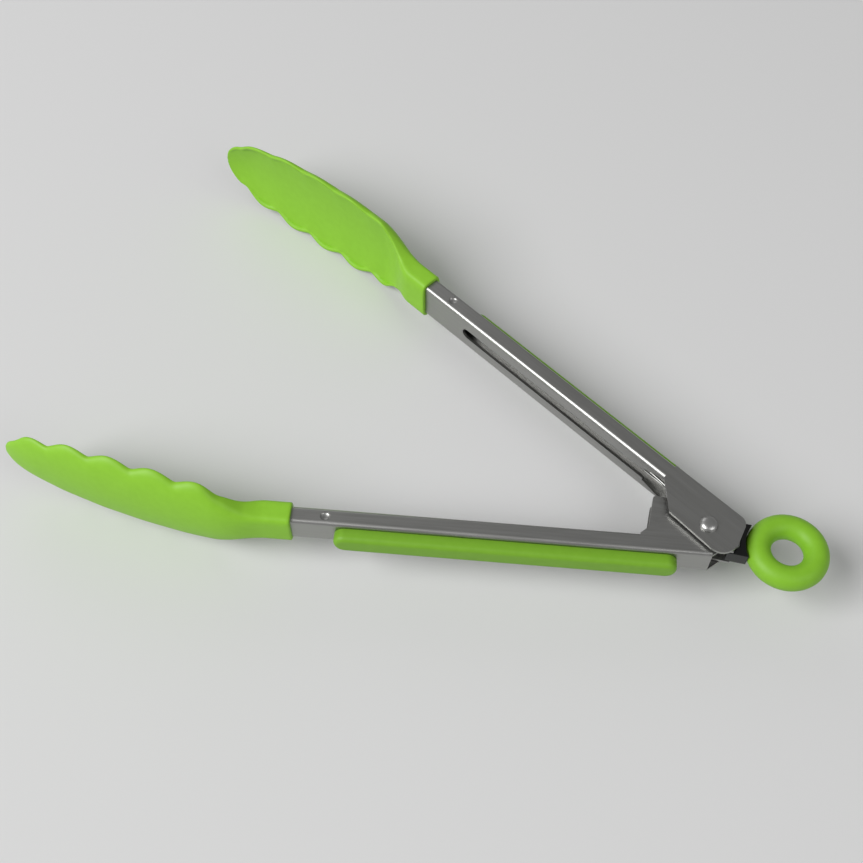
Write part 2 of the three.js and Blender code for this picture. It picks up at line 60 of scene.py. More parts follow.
# The resting position: each arm's angle from the middle line, and the lock's
HALF_OPEN = math.radians(20.3)
LOCK_SWING = math.radians(12.2)

# Finishing of the meshes: angles in degrees under which an edge is shaded smooth
WELD_WITHIN = 0.002
EDGE_ROUND = 0.2
ROUND_OVER = math.radians(35)
SMOOTH_SHEET = 40
SMOOTH_PART = 50
SMOOTH_ROUND = 60
OVERCUT = 1.0
GAP = 0.3

# Arms
STEEL = 0.9
WALL_HEIGHT = 5.8
INNER_FACE = -3.4
WEB_FACE = INNER_FACE - WALL_HEIGHT
BEND_RADIUS = 1.3
UPPER_WIDTH = 13.6
LOWER_WIDTH = 9.8
ARM_END = 133.0
HEAD_START = 124.0
WEB_START = -1.2
SLOT_HALF = 2.1
SLOT_END = 106.0
LIP_START = 26.8
LIP_SLANT = 0.31
LIP_WIDTH = 1.0
SLOT_OVERLAP = 5.0
SLOT_BELOW = 2.0
EAR_END = 19.8
PIVOT_HOLE = 1.85
DIMPLE_AT = 113.7
DIMPLE_RADIUS = 1.5
DIMPLE_DEPTH = 0.7
POLE_GAP = 0.05

# Outlines of the ears: the corners shared by both, and the corners of the squarer one
EAR_SHOULDER = (10.9, 4.8)
SQUARE_EAR_TOP = (-5.2, 5.6)
SQUARE_EAR_CORNER = (-10.3, 5.4)
SQUARE_EAR_BACK = (-10.5, -0.4)
SQUARE_EAR_FOOT = (-8.2, -7.0)
SQUARE_EAR_TOE = (-7.4, -9.0)
SQUARE_EAR_END = -5.4
ROUND_EAR_TOP = 2.0
ROUND_EAR_ARC = (math.radians(75), math.radians(235))
UPPER_EAR_RADIUS = 7.0
LOWER_EAR_RADIUS = 7.9

# Grips: where each pad starts and ends along its arm, and its thickness
GRIPS = {"upper": (15.5, 107.0, 2.7), "lower": (8.5, 110.8, 4.2)}
GRIP_HALF = 3.6
GRIP_BEVEL = 1.6
GRIP_CLEAR = 0.03
GRIP_FOOT = 0.15
LEAST_ROUND = 0.05

# Heads
HEADS = {
    "upper": {
        "length": 100.8,
        "turn": -0.06,
        "level": 0.0004,
        "half_width": 17.0,
        "pitch": 15.3,
        "bump": 40.5,
    },
    "lower": {
        "length": 93.2,
        "turn": 0.065,
        "level": 0.004,
        "half_width": 15.0,
        "pitch": 13.9,
        "bump": 41.4,
    },
}

# The heads' middle line: its height past the neck, slope and bend
SPINE_START = 0.33
SPINE_SLOPE = 0.13
SPINE_BEND = 0.0008
LEVEL_FROM = 78
TURN_FROM = 5

# The heads' width, depth and sleeve
HEAD_WIDEST = 0.52
HEAD_ROUNDNESS = 2.4
HEAD_DEPTH = 6.0
DEPTH_FADE = 0.00075
DEPTH_FADE_FROM = 30
WIDTH_FROM = 14.0
WIDTH_LEAST = 0.002
NECK_START = 8.0
NECK_END = 27.0
SLEEVE_WALL = 1.2
SLEEVE_SQUARENESS = 0.4

# Scallops: where they fade in from the neck, and how far from the tip they fade out
SCALLOP_DEPTH = 1.0
SCALLOP_RISE = 0.45
SCALLOP_SHARPNESS = 0.62
SCALLOP_SOFT = 0.01
SCALLOP_IN = (18, 25)
SCALLOP_OUT = (9, 2)

# Rim and tip: the rim's profile is height and distance inward
RIM_EDGE = 0.5
TIP_ROUND = 12.0
TIP_LEAST = 0.04
TIP_CLOSE = 5
RIM_WIDTH = 1.6
RIM_LEAST = 0.3
RIM_STEP = 0.7
DISH = 1.6
RIM_PROFILE = [(-0.25, 0.04), (-0.08, 0.22), (-0.01, 0.5), (-0.01, 0.9), (-0.1, 1.2), (-0.35, 1.45)]
RIM_TURN = 0.51
RIM_TURN_STEP = 0.015
FACE_TURN = 0.38

# Sleeve's mouth: distance along the arm and inset
MOUTH_ROUND = ((0.0, 0.35), (0.12, 0.12), (0.35, 0.0))
POCKET_CLEAR = 0.05
ARM_MIDDLE = INNER_FACE - WALL_HEIGHT / 2

# How finely the heads are drawn
BACK_STEPS = 44
FACE_STEPS = 26
BODY_STATIONS = 170
TIP_STATIONS = 14
TIP_START_ANGLE = 0.15

# Lock
PLATE_Z = 2.8
PLATE_FRONT = -17.0
PLATE_HALF = 8.3
PLATE_CORNER = 1.0
PLATE_REAR = 8.6
BODY_HALF = 5.6
WAIST_START = -9.5
WAIST_END = -6.5
PLATE_ROUND = 0.1
BODY_HALF_THICKNESS = 2.5
BODY_FRONT = 6.8
BODY_MOUTH = 4.85
BODY_ROUND = 0.3
COIL_CLEAR = 0.4
RING_CLEAR = 0.15
LOCK_TRAVEL = 7.0
BUSH_RADIUS = 2.4
RING_AT = 24.6
RING_RADIUS = 8.65
RING_TUBE = 3.8

# Pivot
RIVET_RADIUS = 1.5
RIVET_HEAD_RADIUS = 2.7
RIVET_HEAD_HEIGHT = 1.3
RIVET_SEAT = 0.02
RIVET_RIM = 0.25
RIVET_EDGE = 0.12
RIVET_DOME = 0.85
WIRE_RADIUS = 0.5
COIL_RADIUS = 2.45
COIL_TURNS = 2
COIL_HALF = 1.75
LEG_LENGTH = 47.0
LEG_SIDE = 1.2
KNEE_AT = 19.0
KNEE_DEPTH = -5.8
LEG_CLEAR = 0.05
WIRE_STEP = 0.6
LONG_SPAN = 2.0
BLEND_START = 0.3

PIVOT = Vector(next(j for j in frame["joints"] if j["name"] == "upper_arm_squeeze")["pos_m"])
PLACE = Matrix.Translation(PIVOT)
SCALE = Matrix.Scale(MM, 4)
UPPER = PLACE @ Matrix.Rotation(math.pi - HALF_OPEN, 4, "Z") @ SCALE
TURNED_OVER = Matrix.Rotation(math.pi, 4, "X")
LOWER = PLACE @ Matrix.Rotation(math.pi + HALF_OPEN, 4, "Z") @ TURNED_OVER @ SCALE
LOCK = PLACE @ Matrix.Rotation(LOCK_SWING, 4, "Z") @ SCALE
CENTRE = PLACE @ SCALE


# ---------------------------------------------------------------- meshes


def new_object(name, verts, faces):
    mesh = bpy.data.meshes.new(name)
    mesh.from_pydata([tuple(v) for v in verts], [], [tuple(f) for f in faces])
    mesh.validate()
    obj = bpy.data.objects.new(name, mesh)
    bpy.context.scene.collection.objects.link(obj)
    work = bmesh.new()
    work.from_mesh(mesh)
    bmesh.ops.recalc_face_normals(work, faces=work.faces)
    work.to_mesh(mesh)
    work.free()
    for polygon in mesh.polygons:
        polygon.use_smooth = True
    return obj


def loft(name, rings):
    """A closed skin through rings that all hold the same number of points."""
    count = len(rings[0])
    verts = [p for ring in rings for p in ring]
    faces = []
    for start in range(0, (len(rings) - 1) * count, count):
        for s in range(count):
            n = (s + 1) % count
            above = start + count
            faces.append((start + s, start + n, above + n, above + s))
    faces.append(tuple(range(count))[::-1])
    faces.append(tuple(range(len(verts) - count, len(verts))))
    return new_object(name, verts, faces)


def prism(name, outline, low, high, axis="Z"):
    """A flat outline of X and Y, extruded along Z; or of X and Z, extruded along Y."""
    def put(a, b, c):
        return (a, b, c) if axis == "Z" else (a, c, b)

    count = len(outline)
    verts = [put(x, y, low) for x, y in outline] + [put(x, y, high) for x, y in outline]
    faces = [tuple(range(count))[::-1], tuple(range(count, 2 * count))]
    for s in range(count):
        n = (s + 1) % count
        faces.append((s, n, count + n, count + s))
    return new_object(name, verts, faces)


def arc(cx, cy, radius, start, end, steps):
    return [
        (cx + radius * math.cos(a), cy + radius * math.sin(a))
        for a in np.linspace(start, end, steps + 1)
    ]


def rounded_rectangle(half, low, high, radius, steps=6):
    """Points of Z and Y, anticlockwise."""
    right, bottom, top = half - radius, low + radius, high - radius
    points = arc(right, bottom, radius, -QUARTER, 0, steps)
    points += arc(right, top, radius, 0, QUARTER, steps)
    points += arc(-right, top, radius, QUARTER, math.pi, steps)
    points += arc(-right, bottom, radius, math.pi, 3 * QUARTER, steps)
    return points


def bar_along_x(name, half, low, high, radius, start, end):
    section = rounded_rectangle(half, low, high, radius)
    return loft(name, [[(x, y, z) for z, y in section] for x in (start, end)])


def circle(radius, sides):
    return arc(0, 0, radius, 0, 2 * math.pi, sides)[:-1]


def combine(target, tool, operation):
    """Applies one boolean, and removes the tool."""
    modifier = target.modifiers.new("combine", "BOOLEAN")
    modifier.operation = operation
    modifier.solver = "EXACT"
    modifier.object = tool
    apply_modifiers(target)
    bpy.data.objects.remove(tool, do_unlink=True)


def apply_modifiers(obj):
    graph = bpy.context.evaluated_depsgraph_get()
    graph.update()
    mesh = bpy.data.meshes.new_from_object(obj.evaluated_get(graph), depsgraph=graph)
    old = obj.data
    obj.modifiers.clear()
    obj.data = mesh
    bpy.data.meshes.remove(old)
    mesh.name = obj.name


def soften(obj, width=EDGE_ROUND, segments=2):
    """Rounds the sharp edges a little, as a stamped or moulded edge is."""
    merge = obj.modifiers.new("merge", "WELD")
    merge.merge_threshold = WELD_WITHIN
    bevel = obj.modifiers.new("edges", "BEVEL")
    bevel.width = width
    bevel.segments = segments
    bevel.limit_method = "ANGLE"
    bevel.angle_limit = ROUND_OVER
    bevel.use_clamp_overlap = True
    bevel.miter_outer = "MITER_ARC"
    apply_modifiers(obj)
    shade_by_angle(obj, SMOOTH_SHEET)
    even = obj.modifiers.new("even", "WEIGHTED_NORMAL")
    even.keep_sharp = True
    apply_modifiers(obj)


def shade_by_angle(obj, degrees):
    mesh = obj.data
    for polygon in mesh.polygons:
        polygon.use_smooth = True
    work = bmesh.new()
    work.from_mesh(mesh)
    limit = math.radians(degrees)
    for edge in work.edges:
        edge.smooth = len(edge.link_faces) == 2 and edge.calc_face_angle(math.pi) < limit
    work.to_mesh(mesh)
    work.free()


def settle(obj, matrix, body, look, slot, *nodes):
    """Puts a finished piece in the frame's metres, hangs it on what it rides on, and hides the CAD
    parts it stands for.
    """
    obj.data.transform(matrix)
    if matrix.to_3x3().determinant() < 0:
        obj.data.flip_normals()
    obj.data.materials.clear()
    obj.data.materials.append(look)
    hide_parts(*nodes)
    if body:
        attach(obj, body)


# ---------------------------------------------------------------- materials

NOISE_DETAIL = 3.0
NOISE_LOW = 0.3
NOISE_HIGH = 0.7
BRUSH_SCALE = 2600
BRUSH_STRETCH = (0.02, 1, 1)
BRUSH_STEEL = ("A2A29F", "AAAAA8")
BRUSH_ROUGHNESS = 0.4
BRUSH_SPREAD = 0.04
BRUSH_STRENGTH = 0.1
BRUSH_DEPTH = 0.00001
GRAIN_SCALE = 420
GRAIN_STRENGTH = 0.06
GRAIN_DEPTH = 0.00004
PLAIN_SCALE = 300


def srgb(hex_colour):
    """The linear colour, with full alpha, of six hexadecimal digits."""
    def channel(value):
        value /= 255
        return value / 12.92 if value <= 0.04045 else ((value + 0.055) / 1.055) ** 2.4

    return tuple(channel(int(hex_colour[i:i + 2], 16)) for i in (0, 2, 4)) + (1.0,)


def material(name, colour, roughness, metallic=0.0, specular=0.5):
    made = bpy.data.materials.new(name)
    made.use_nodes = True
    shader = made.node_tree.nodes["Principled BSDF"]
    shader.inputs["Base Color"].default_value = srgb(colour)
    shader.inputs["Roughness"].default_value = roughness
    shader.inputs["Metallic"].default_value = metallic
    shader.inputs["Specular IOR Level"].default_value = specular
    return made, shader


def noise(made, scale, stretch=(1, 1, 1), turn=0.0):
    """Noise in the object's own space, turned about Z and then stretched."""
    nodes, links = made.node_tree.nodes, made.node_tree.links
    place = nodes.new("ShaderNodeTexCoord")
    turned = nodes.new("ShaderNodeMapping")
    turned.inputs["Rotation"].default_value = (0, 0, turn)
    stretched = nodes.new("ShaderNodeMapping")
    stretched.inputs["Scale"].default_value = stretch
    texture = nodes.new("ShaderNodeTexNoise")
    texture.inputs["Scale"].default_value = scale
    texture.inputs["Detail"].default_value = NOISE_DETAIL
    links.new(place.outputs["Object"], turned.inputs["Vector"])
    links.new(turned.outputs["Vector"], stretched.inputs["Vector"])
    links.new(stretched.outputs["Vector"], texture.inputs["Vector"])
    return texture


def spread(made, texture, low, high):
    """The noise as a value between low and high."""
    nodes, links = made.node_tree.nodes, made.node_tree.links
    ranged = nodes.new("ShaderNodeMapRange")
    ranged.inputs["From Min"].default_value = NOISE_LOW
    ranged.inputs["From Max"].default_value = NOISE_HIGH
    ranged.inputs["To Min"].default_value = low
    ranged.inputs["To Max"].default_value = high
    links.new(texture.outputs["Fac"], ranged.inputs["Value"])
    return ranged.outputs["Result"]


def relief(made, shader, texture, strength, depth):
    nodes, links = made.node_tree.nodes, made.node_tree.links
    bump = nodes.new("ShaderNodeBump")
    bump.inputs["Strength"].default_value = strength
    bump.inputs["Distance"].default_value = depth
    links.new(texture.outputs["Fac"], bump.inputs["Height"])
    links.new(bump.outputs["Normal"], shader.inputs["Normal"])


def tinted(made, shader, texture, first, second):
    nodes, links = made.node_tree.nodes, made.node_tree.links
    mix = nodes.new("ShaderNodeMix")
    mix.data_type = "RGBA"
    mix.inputs[6].default_value = srgb(first)
    mix.inputs[7].default_value = srgb(second)
    links.new(spread(made, texture, 0.0, 1.0), mix.inputs[0])
    links.new(mix.outputs[2], shader.inputs["Base Color"])


def brushed(name, turn):
    """Stainless sheet with fine lines along the arm."""
    made, shader = material(name, BRUSH_STEEL[0], BRUSH_ROUGHNESS, metallic=1.0)
    lines = noise(made, BRUSH_SCALE, stretch=BRUSH_STRETCH, turn=turn)
    low, high = BRUSH_ROUGHNESS - BRUSH_SPREAD, BRUSH_ROUGHNESS + BRUSH_SPREAD
    roughness = spread(made, lines, low, high)
    made.node_tree.links.new(roughness, shader.inputs["Roughness"])
    tinted(made, shader, lines, *BRUSH_STEEL)
    relief(made, shader, lines, BRUSH_STRENGTH, BRUSH_DEPTH)
    return made


def silicone(name, colour, other):
    made, shader = material(name, colour, 0.5, specular=0.4)
    grain = noise(made, GRAIN_SCALE)
    tinted(made, shader, grain, colour, other)
    relief(made, shader, grain, GRAIN_STRENGTH, GRAIN_DEPTH)
    return made


def plain(name, colour, other, roughness, metallic=0.0):
    made, shader = material(name, colour, roughness, metallic)
    tinted(made, shader, noise(made, PLAIN_SCALE), colour, other)
    return made


STEEL_UPPER = brushed("steel_upper", HALF_OPEN)
STEEL_LOWER = brushed("steel_lower", -HALF_OPEN)
STEEL_LOCK = brushed("steel_lock", -LOCK_SWING)
GREEN = silicone("green_silicone", "86C02A", "8AC42E")
# The pads are the heads' silicone, painted a darker green as painted shade.
GREEN_PAD_PAINTED_SHADE = silicone("green_pad_painted_shade", "72A524", "76A928")
# The ring is the heads' silicone, painted a little darker green as painted shade.
GREEN_RING_PAINTED_SHADE = silicone("green_ring_painted_shade", "7DB526", "81B92A")
BLACK = plain("black_nylon", "060606", "090909", 0.16)
BRIGHT = plain("bright_steel", "B8B8B6", "C2C2C0", 0.33, metallic=1.0)
WIRE = plain("spring_steel", "8A8A88", "959593", 0.3, metallic=1.0)
WHITE = plain("white_nylon", "D9D9D2", "DEDED8", 0.5)


# ---------------------------------------------------------------- arms


def quadratic(p0, p1, p2, steps=8):
    out = []
    for t in np.linspace(0, 1, steps + 1)[1:]:
        first, second, third = (1 - t) ** 2, 2 * t * (1 - t), t * t
        out.append(tuple(first * a + second * b + third * c for a, b, c in zip(p0, p1, p2)))
    return out


def square_ear():
    points = [(EAR_END, INNER_FACE), EAR_SHOULDER, SQUARE_EAR_TOP]
    points += quadratic(SQUARE_EAR_TOP, SQUARE_EAR_CORNER, SQUARE_EAR_BACK)
    points += [SQUARE_EAR_FOOT]
    points += quadratic(SQUARE_EAR_FOOT, SQUARE_EAR_TOE, (SQUARE_EAR_END, WEB_FACE))
    points += [(EAR_END, WEB_FACE)]
    return points


def round_ear(radius):
    """The outline stops at the line where the wall starts to bend into the web."""
    points = [(EAR_END, INNER_FACE), EAR_SHOULDER, (ROUND_EAR_TOP, radius)]
    points += arc(0, 0, radius, *ROUND_EAR_ARC, 28)
    bend = WEB_FACE + BEND_RADIUS
    points += [(WEB_START, WEB_FACE), (WEB_START, bend), (EAR_END, bend)]
    return points


def arm(name, width, near_ear, far_ear):
    """A channel with its inner face slotted, cut open towards the pivot, and two ears."""
    half = width / 2
    inner = half - STEEL
    shell = bar_along_x(name, half, WEB_FACE, INNER_FACE, BEND_RADIUS, WEB_START, ARM_END)
    hollow = bar_along_x(
        "hollow", inner, WEB_FACE + STEEL, INNER_FACE - STEEL, BEND_RADIUS - STEEL,
        WEB_START - OVERCUT, ARM_END + OVERCUT,
    )
    combine(shell, hollow, "DIFFERENCE")
    narrow = min(inner, SLOT_HALF + LIP_WIDTH)
    widest = LIP_START - (inner - narrow) / LIP_SLANT
    opening = [
        (WEB_START - OVERCUT, -inner), (widest, -inner), (LIP_START, -narrow),
        (LIP_START, narrow), (widest, inner), (WEB_START - OVERCUT, inner),
    ]
    above = INNER_FACE + OVERCUT
    combine(shell, prism("opening", opening, WEB_FACE + STEEL, above, "Y"), "DIFFERENCE")
    slot = [(LIP_START - SLOT_OVERLAP, -SLOT_HALF)]
    slot += arc(SLOT_END - SLOT_HALF, 0, SLOT_HALF, -QUARTER, QUARTER, 16)
    slot += [(LIP_START - SLOT_OVERLAP, SLOT_HALF)]
    combine(shell, prism("slot", slot, INNER_FACE - SLOT_BELOW, above, "Y"), "DIFFERENCE")
    combine(shell, prism("near", near_ear, inner, half), "UNION")
    combine(shell, prism("far", far_ear, -half, -inner), "UNION")
    hole = prism("hole", circle(PIVOT_HOLE, 48), -half - OVERCUT, half + OVERCUT)
    combine(shell, hole, "DIFFERENCE")
    for side in (-1, 1):
        combine(shell, dimple_tool(side * half), "DIFFERENCE")
    soften(shell)
    return shell


def dimple_tool(z):
    """A flattened ball, whose lower or upper half presses into the wall at z."""
    rings = []
    for a in np.linspace(POLE_GAP - QUARTER, QUARTER - POLE_GAP, 13):
        outline = circle(DIMPLE_RADIUS * math.cos(a), 24)
        height = z + DIMPLE_DEPTH * math.sin(a)
        rings.append([(DIMPLE_AT + x, ARM_MIDDLE + y, height) for x, y in outline])
    return loft("dimple", rings)


def grip(name, side):
    """A round-ended pad on the web's outer face, with its outer edge rolled over."""
    start, end, thickness = GRIPS[side]
    low, high = WEB_FACE - GRIP_CLEAR, WEB_FACE - thickness
    middle = (start + end) / 2
    levels = [(GRIP_FOOT, low), (0.0, low - GRIP_FOOT)]
    for a in np.linspace(0, QUARTER, 9):
        levels.append((GRIP_BEVEL * (1 - math.cos(a)), high + GRIP_BEVEL * (1 - math.sin(a))))
    rings = []
    for inset, y in levels:
        r = max(GRIP_HALF - LEAST_ROUND - inset, LEAST_ROUND)
        a, b = (end - start) / 2 - inset - r, GRIP_HALF - inset - r
        flat = []
        for k, (x, z) in enumerate(((a, b), (-a, b), (-a, -b), (a, -b))):
            flat += arc(x, z, r, k * QUARTER, (k + 1) * QUARTER, 10)
        rings.append([(middle + x, y, z) for x, z in flat])
    obj = loft(name, rings)
    shade_by_angle(obj, SMOOTH_PART)
    return obj


# ---------------------------------------------------------------- heads


def smooth_step(x, start, end):
    t = min(1.0, max(0.0, (x - start) / (end - start)))
    return t * t * (3 - 2 * t)


def mix(a, b, t):
    return a + (b - a) * t


def scallop(x, side):
    """Round bumps between narrower valleys, from -1 to 1."""
    form = HEADS[side]
    fade_start, fade_end = (form["length"] - before_tip for before_tip in SCALLOP_OUT)
    fade = smooth_step(x, *SCALLOP_IN) * (1 - smooth_step(x, fade_start, fade_end))
    wave = math.cos(math.pi * (x - form["bump"]) / form["pitch"]) ** 2
    return fade * (2 * (wave + SCALLOP_SOFT) ** SCALLOP_SHARPNESS - 1)


def base_height(x, side):
    """The height of the rim without its bumps."""
    along = x - NECK_END
    form = HEADS[side]
    levelled = form["level"] * max(0.0, x - LEVEL_FROM) ** 2
    curve = SPINE_START + SPINE_SLOPE * along + SPINE_BEND * along * along - levelled
    return curve + form["turn"] * (x - TURN_FROM)


def tip_taper(x, side):
    """How the thickness runs out towards the tip, from 1 to nearly 0."""
    into = max(0.0, x - HEADS[side]["length"] + TIP_ROUND) / TIP_ROUND
    return math.sqrt(max(TIP_LEAST, 1 - into * into))


def depth_at(x, side):
    shallower = DEPTH_FADE * max(0.0, x - DEPTH_FADE_FROM) ** 2
    return (HEAD_DEPTH - shallower) * tip_taper(x, side)


def base_half_width(x, side):
    form = HEADS[side]
    widest = HEAD_WIDEST * form["length"]
    along = abs(max(x, WIDTH_FROM) - widest) / (form["length"] - widest)
    oval = max(WIDTH_LEAST, 1 - along ** HEAD_ROUNDNESS) ** (1 / HEAD_ROUNDNESS)
    return form["half_width"] * oval


def head_ring(x, side, sleeve_half, inset=0.0):
    """One ring of a head at x: the bowl's section, blended from the sleeve's squarish oval."""
    bowl = smooth_step(x, NECK_START, NECK_END)
    bump = scallop(x, side)
    rim_half = base_half_width(x, side) + SCALLOP_DEPTH * bump
    edge = max(RIM_LEAST * rim_half, rim_half - RIM_WIDTH)
    base = base_height(x, side)
    rim = base + SCALLOP_RISE * bump
    depth = depth_at(x, side)
    taper = tip_taper(x, side)
    sleeve_height = WALL_HEIGHT / 2 + SLEEVE_WALL - inset
    sleeve_width = sleeve_half - inset
    ring = []

    def put(y, z, angle):
        sine, cosine = math.sin(angle), math.cos(angle)
        sleeve_z = sleeve_width * math.copysign(abs(sine) ** SLEEVE_SQUARENESS, sine)
        sleeve_y = -sleeve_height * math.copysign(abs(cosine) ** SLEEVE_SQUARENESS, cosine)
        ring.append((x, mix(sleeve_y, y, bowl), mix(sleeve_z, z, bowl)))

    for angle in np.linspace(-QUARTER, QUARTER, BACK_STEPS + 1):
        flute = bump * (1 - math.cos(angle))
        half = base_half_width(x, side) + SCALLOP_DEPTH * flute
        high = base + SCALLOP_RISE * flute - RIM_EDGE
        put(high - (depth - RIM_EDGE) * math.cos(angle), half * math.sin(angle), angle)
    shrink = (rim_half - edge) / RIM_WIDTH
    rounding = list(enumerate(RIM_PROFILE))
    for k, (y, inward) in rounding:
        angle = math.pi * (RIM_TURN + RIM_TURN_STEP * k)
        put(rim + y * taper, rim_half - inward * shrink, angle)
    for across in np.linspace(1, -1, FACE_STEPS + 1):
        y = base - (RIM_STEP + DISH * (1 - across * across)) * taper ** 2
        put(y, edge * across, math.pi * (1 - FACE_TURN * across))
    for k, (y, inward) in reversed(rounding):
        angle = -math.pi * (RIM_TURN + RIM_TURN_STEP * k)
        put(rim + y * taper, inward * shrink - rim_half, angle)
    return ring


def head(name, side, width):
    sleeve_half = width / 2 + SLEEVE_WALL
    length = HEADS[side]["length"]
    stations = list(np.linspace(1, length - TIP_CLOSE, BODY_STATIONS))
    for a in np.linspace(TIP_START_ANGLE, QUARTER, TIP_STATIONS):
        stations.append(length - TIP_CLOSE * math.cos(a))
    rings = [head_ring(x, side, sleeve_half, inset) for x, inset in MOUTH_ROUND]
    rings += [head_ring(x, side, sleeve_half) for x in stations]
    obj = loft(name, rings)
    high = WALL_HEIGHT / 2 + POCKET_CLEAR
    pocket_end = ARM_END - HEAD_START + GAP
    pocket = bar_along_x(
        "pocket", width / 2 + POCKET_CLEAR, -high, high, BEND_RADIUS, -OVERCUT, pocket_end
    )
    combine(obj, pocket, "DIFFERENCE")
    shade_by_angle(obj, SMOOTH_ROUND)
    return obj


# ---------------------------------------------------------------- pivot and lock


def turned(name, profile, sides=64):
    """A closed profile of radius and height, turned about Z. A point on the axis stays one."""
    verts, rows = [], []
    for r, h in profile:
        if r < 1e-6:
            rows.append([len(verts)])
            verts.append((0, 0, h))
        else:
            rows.append(list(range(len(verts), len(verts) + sides)))
            verts += [(x, y, h) for x, y in circle(r, sides)]
    faces = []
    for a, b in zip(rows, rows[1:]):
        for s in range(sides):
            n = (s + 1) % sides
            if len(a) == 1:
                faces.append((a[0], b[s], b[n]))
            elif len(b) == 1:
                faces.append((a[s], a[n], b[0]))
            else:
                faces.append((a[s], a[n], b[n], b[s]))
    return new_object(name, verts, faces)


def rivet(name):
    foot = UPPER_WIDTH / 2 + RIVET_SEAT
    top = UPPER_WIDTH / 2 + GAP + RIVET_HEAD_HEIGHT
    rise = top - foot - RIVET_RIM
    dome = [
        (RIVET_HEAD_RADIUS * math.cos(a) ** RIVET_DOME, foot + RIVET_RIM + rise * math.sin(a))
        for a in np.linspace(0, QUARTER - 0.001, 12)[:-1]
    ]
    upper = [(RIVET_RADIUS, foot), (RIVET_HEAD_RADIUS - RIVET_EDGE, foot)] + dome + [(0.0, top)]
    profile = [(r, -h) for r, h in upper[::-1]] + upper
    obj = turned(name, profile)
    shade_by_angle(obj, SMOOTH_PART)
    return obj


def plate(name, z):
    """A plate with a wide front, a waist, and an open slot that runs along the bush."""
    neck = BUSH_RADIUS + GAP
    corner_x, corner_y = PLATE_FRONT + PLATE_CORNER, PLATE_CORNER - PLATE_HALF
    below = arc(corner_x, corner_y, PLATE_CORNER, math.pi, 3 * QUARTER, 8)
    below += [(WAIST_START, -PLATE_HALF), (WAIST_END, -BODY_HALF)]
    below += [(PLATE_REAR, -BODY_HALF), (PLATE_REAR, -neck)]
    points = below + arc(0, 0, neck, -QUARTER, -3 * QUARTER, 16)
    points += [(x, -y) for x, y in below[::-1]]
    obj = prism(name, points, z, z + STEEL)
    soften(obj, PLATE_ROUND)
    return obj


def lock_body(name):
    """A block from the coil to the ring, with a flared mouth that the coil enters."""
    coil = COIL_RADIUS + WIRE_RADIUS + GAP
    room = coil + COIL_CLEAR
    end = LOCK_TRAVEL + coil
    seat = RING_RADIUS + RING_TUBE + RING_CLEAR
    angle = math.asin(BODY_HALF / seat)
    points = [(BODY_FRONT, -BODY_HALF)]
    points += arc(RING_AT, 0, seat, math.pi + angle, math.pi - angle, 24)
    points += [(BODY_FRONT, BODY_HALF), (BODY_FRONT, BODY_MOUTH), (end - 1, room), (end, room - 1)]
    points += [(end, 1 - room), (end - 1, -room), (BODY_FRONT, -BODY_MOUTH)]
    obj = prism(name, points, -BODY_HALF_THICKNESS, BODY_HALF_THICKNESS)
    soften(obj, BODY_ROUND, segments=4)
    return obj


def torus(name, radius, tube, around=96, section=40):
    verts, faces = [], []
    for i in range(around):
        a = 2 * math.pi * i / around
        for k in range(section):
            b = 2 * math.pi * k / section
            r = radius + tube * math.cos(b)
            verts.append((RING_AT + r * math.cos(a), r * math.sin(a), tube * math.sin(b)))
            j, m = (i + 1) % around, (k + 1) % section
            faces.append((i * section + k, j * section + k, j * section + m, i * section + m))
    return new_object(name, verts, faces)


def wire_points():
    """The middle line of the spring: upper leg, coil, lower leg."""
    rest_on = WEB_FACE + STEEL + LEG_CLEAR + WIRE_RADIUS

    def in_arm(side, along, inward):
        return Vector((
            -along * math.cos(HALF_OPEN) - inward * math.sin(HALF_OPEN),
            side * (along * math.sin(HALF_OPEN) - inward * math.cos(HALF_OPEN)),
            -side * LEG_SIDE,
        ))

    knee = in_arm(1, KNEE_AT, KNEE_DEPTH)
    start = math.atan2(knee.y, knee.x) - math.acos(COIL_RADIUS / math.hypot(knee.x, knee.y))
    turn = 2 * math.pi * COIL_TURNS + 2 * start
    legs = {
        side: [
            in_arm(side, LEG_LENGTH, rest_on),
            in_arm(side, (LEG_LENGTH + KNEE_AT) / 2, (rest_on + KNEE_DEPTH) / 2),
            in_arm(side, KNEE_AT, KNEE_DEPTH),
        ]
        for side in (1, -1)
    }
    coil = []
    steps = 96
    for step in range(steps + 1):
        angle = start - turn * step / steps
        z = -COIL_HALF + 2 * COIL_HALF * step / steps
        coil.append(Vector((COIL_RADIUS * math.cos(angle), COIL_RADIUS * math.sin(angle), z)))
    return legs[1] + coil + legs[-1][::-1], legs


def smooth_line(points):
    """A curve through the points, with long spans cut into short steps."""
    last = len(points) - 1
    out = []
    for i in range(last):
        p0, p1, p2, p3 = (points[min(max(k, 0), last)] for k in (i - 1, i, i + 1, i + 2))
        span = (p2 - p1).length
        steps = int(span / WIRE_STEP) if span > LONG_SPAN else 2
        leaving = (p2 - p0) * 0.5 * min(1.0, span / max((p1 - p0).length, 1e-6))
        arriving = (p3 - p1) * 0.5 * min(1.0, span / max((p3 - p2).length, 1e-6))
        for t in np.linspace(0, 1, steps + 1)[:-1]:
            a, b = 2 * t ** 3 - 3 * t * t + 1, t ** 3 - 2 * t * t + t
            c, d = -2 * t ** 3 + 3 * t * t, t ** 3 - t * t
            out.append(p1 * a + leaving * b + p2 * c + arriving * d)
    return out + [points[-1]]


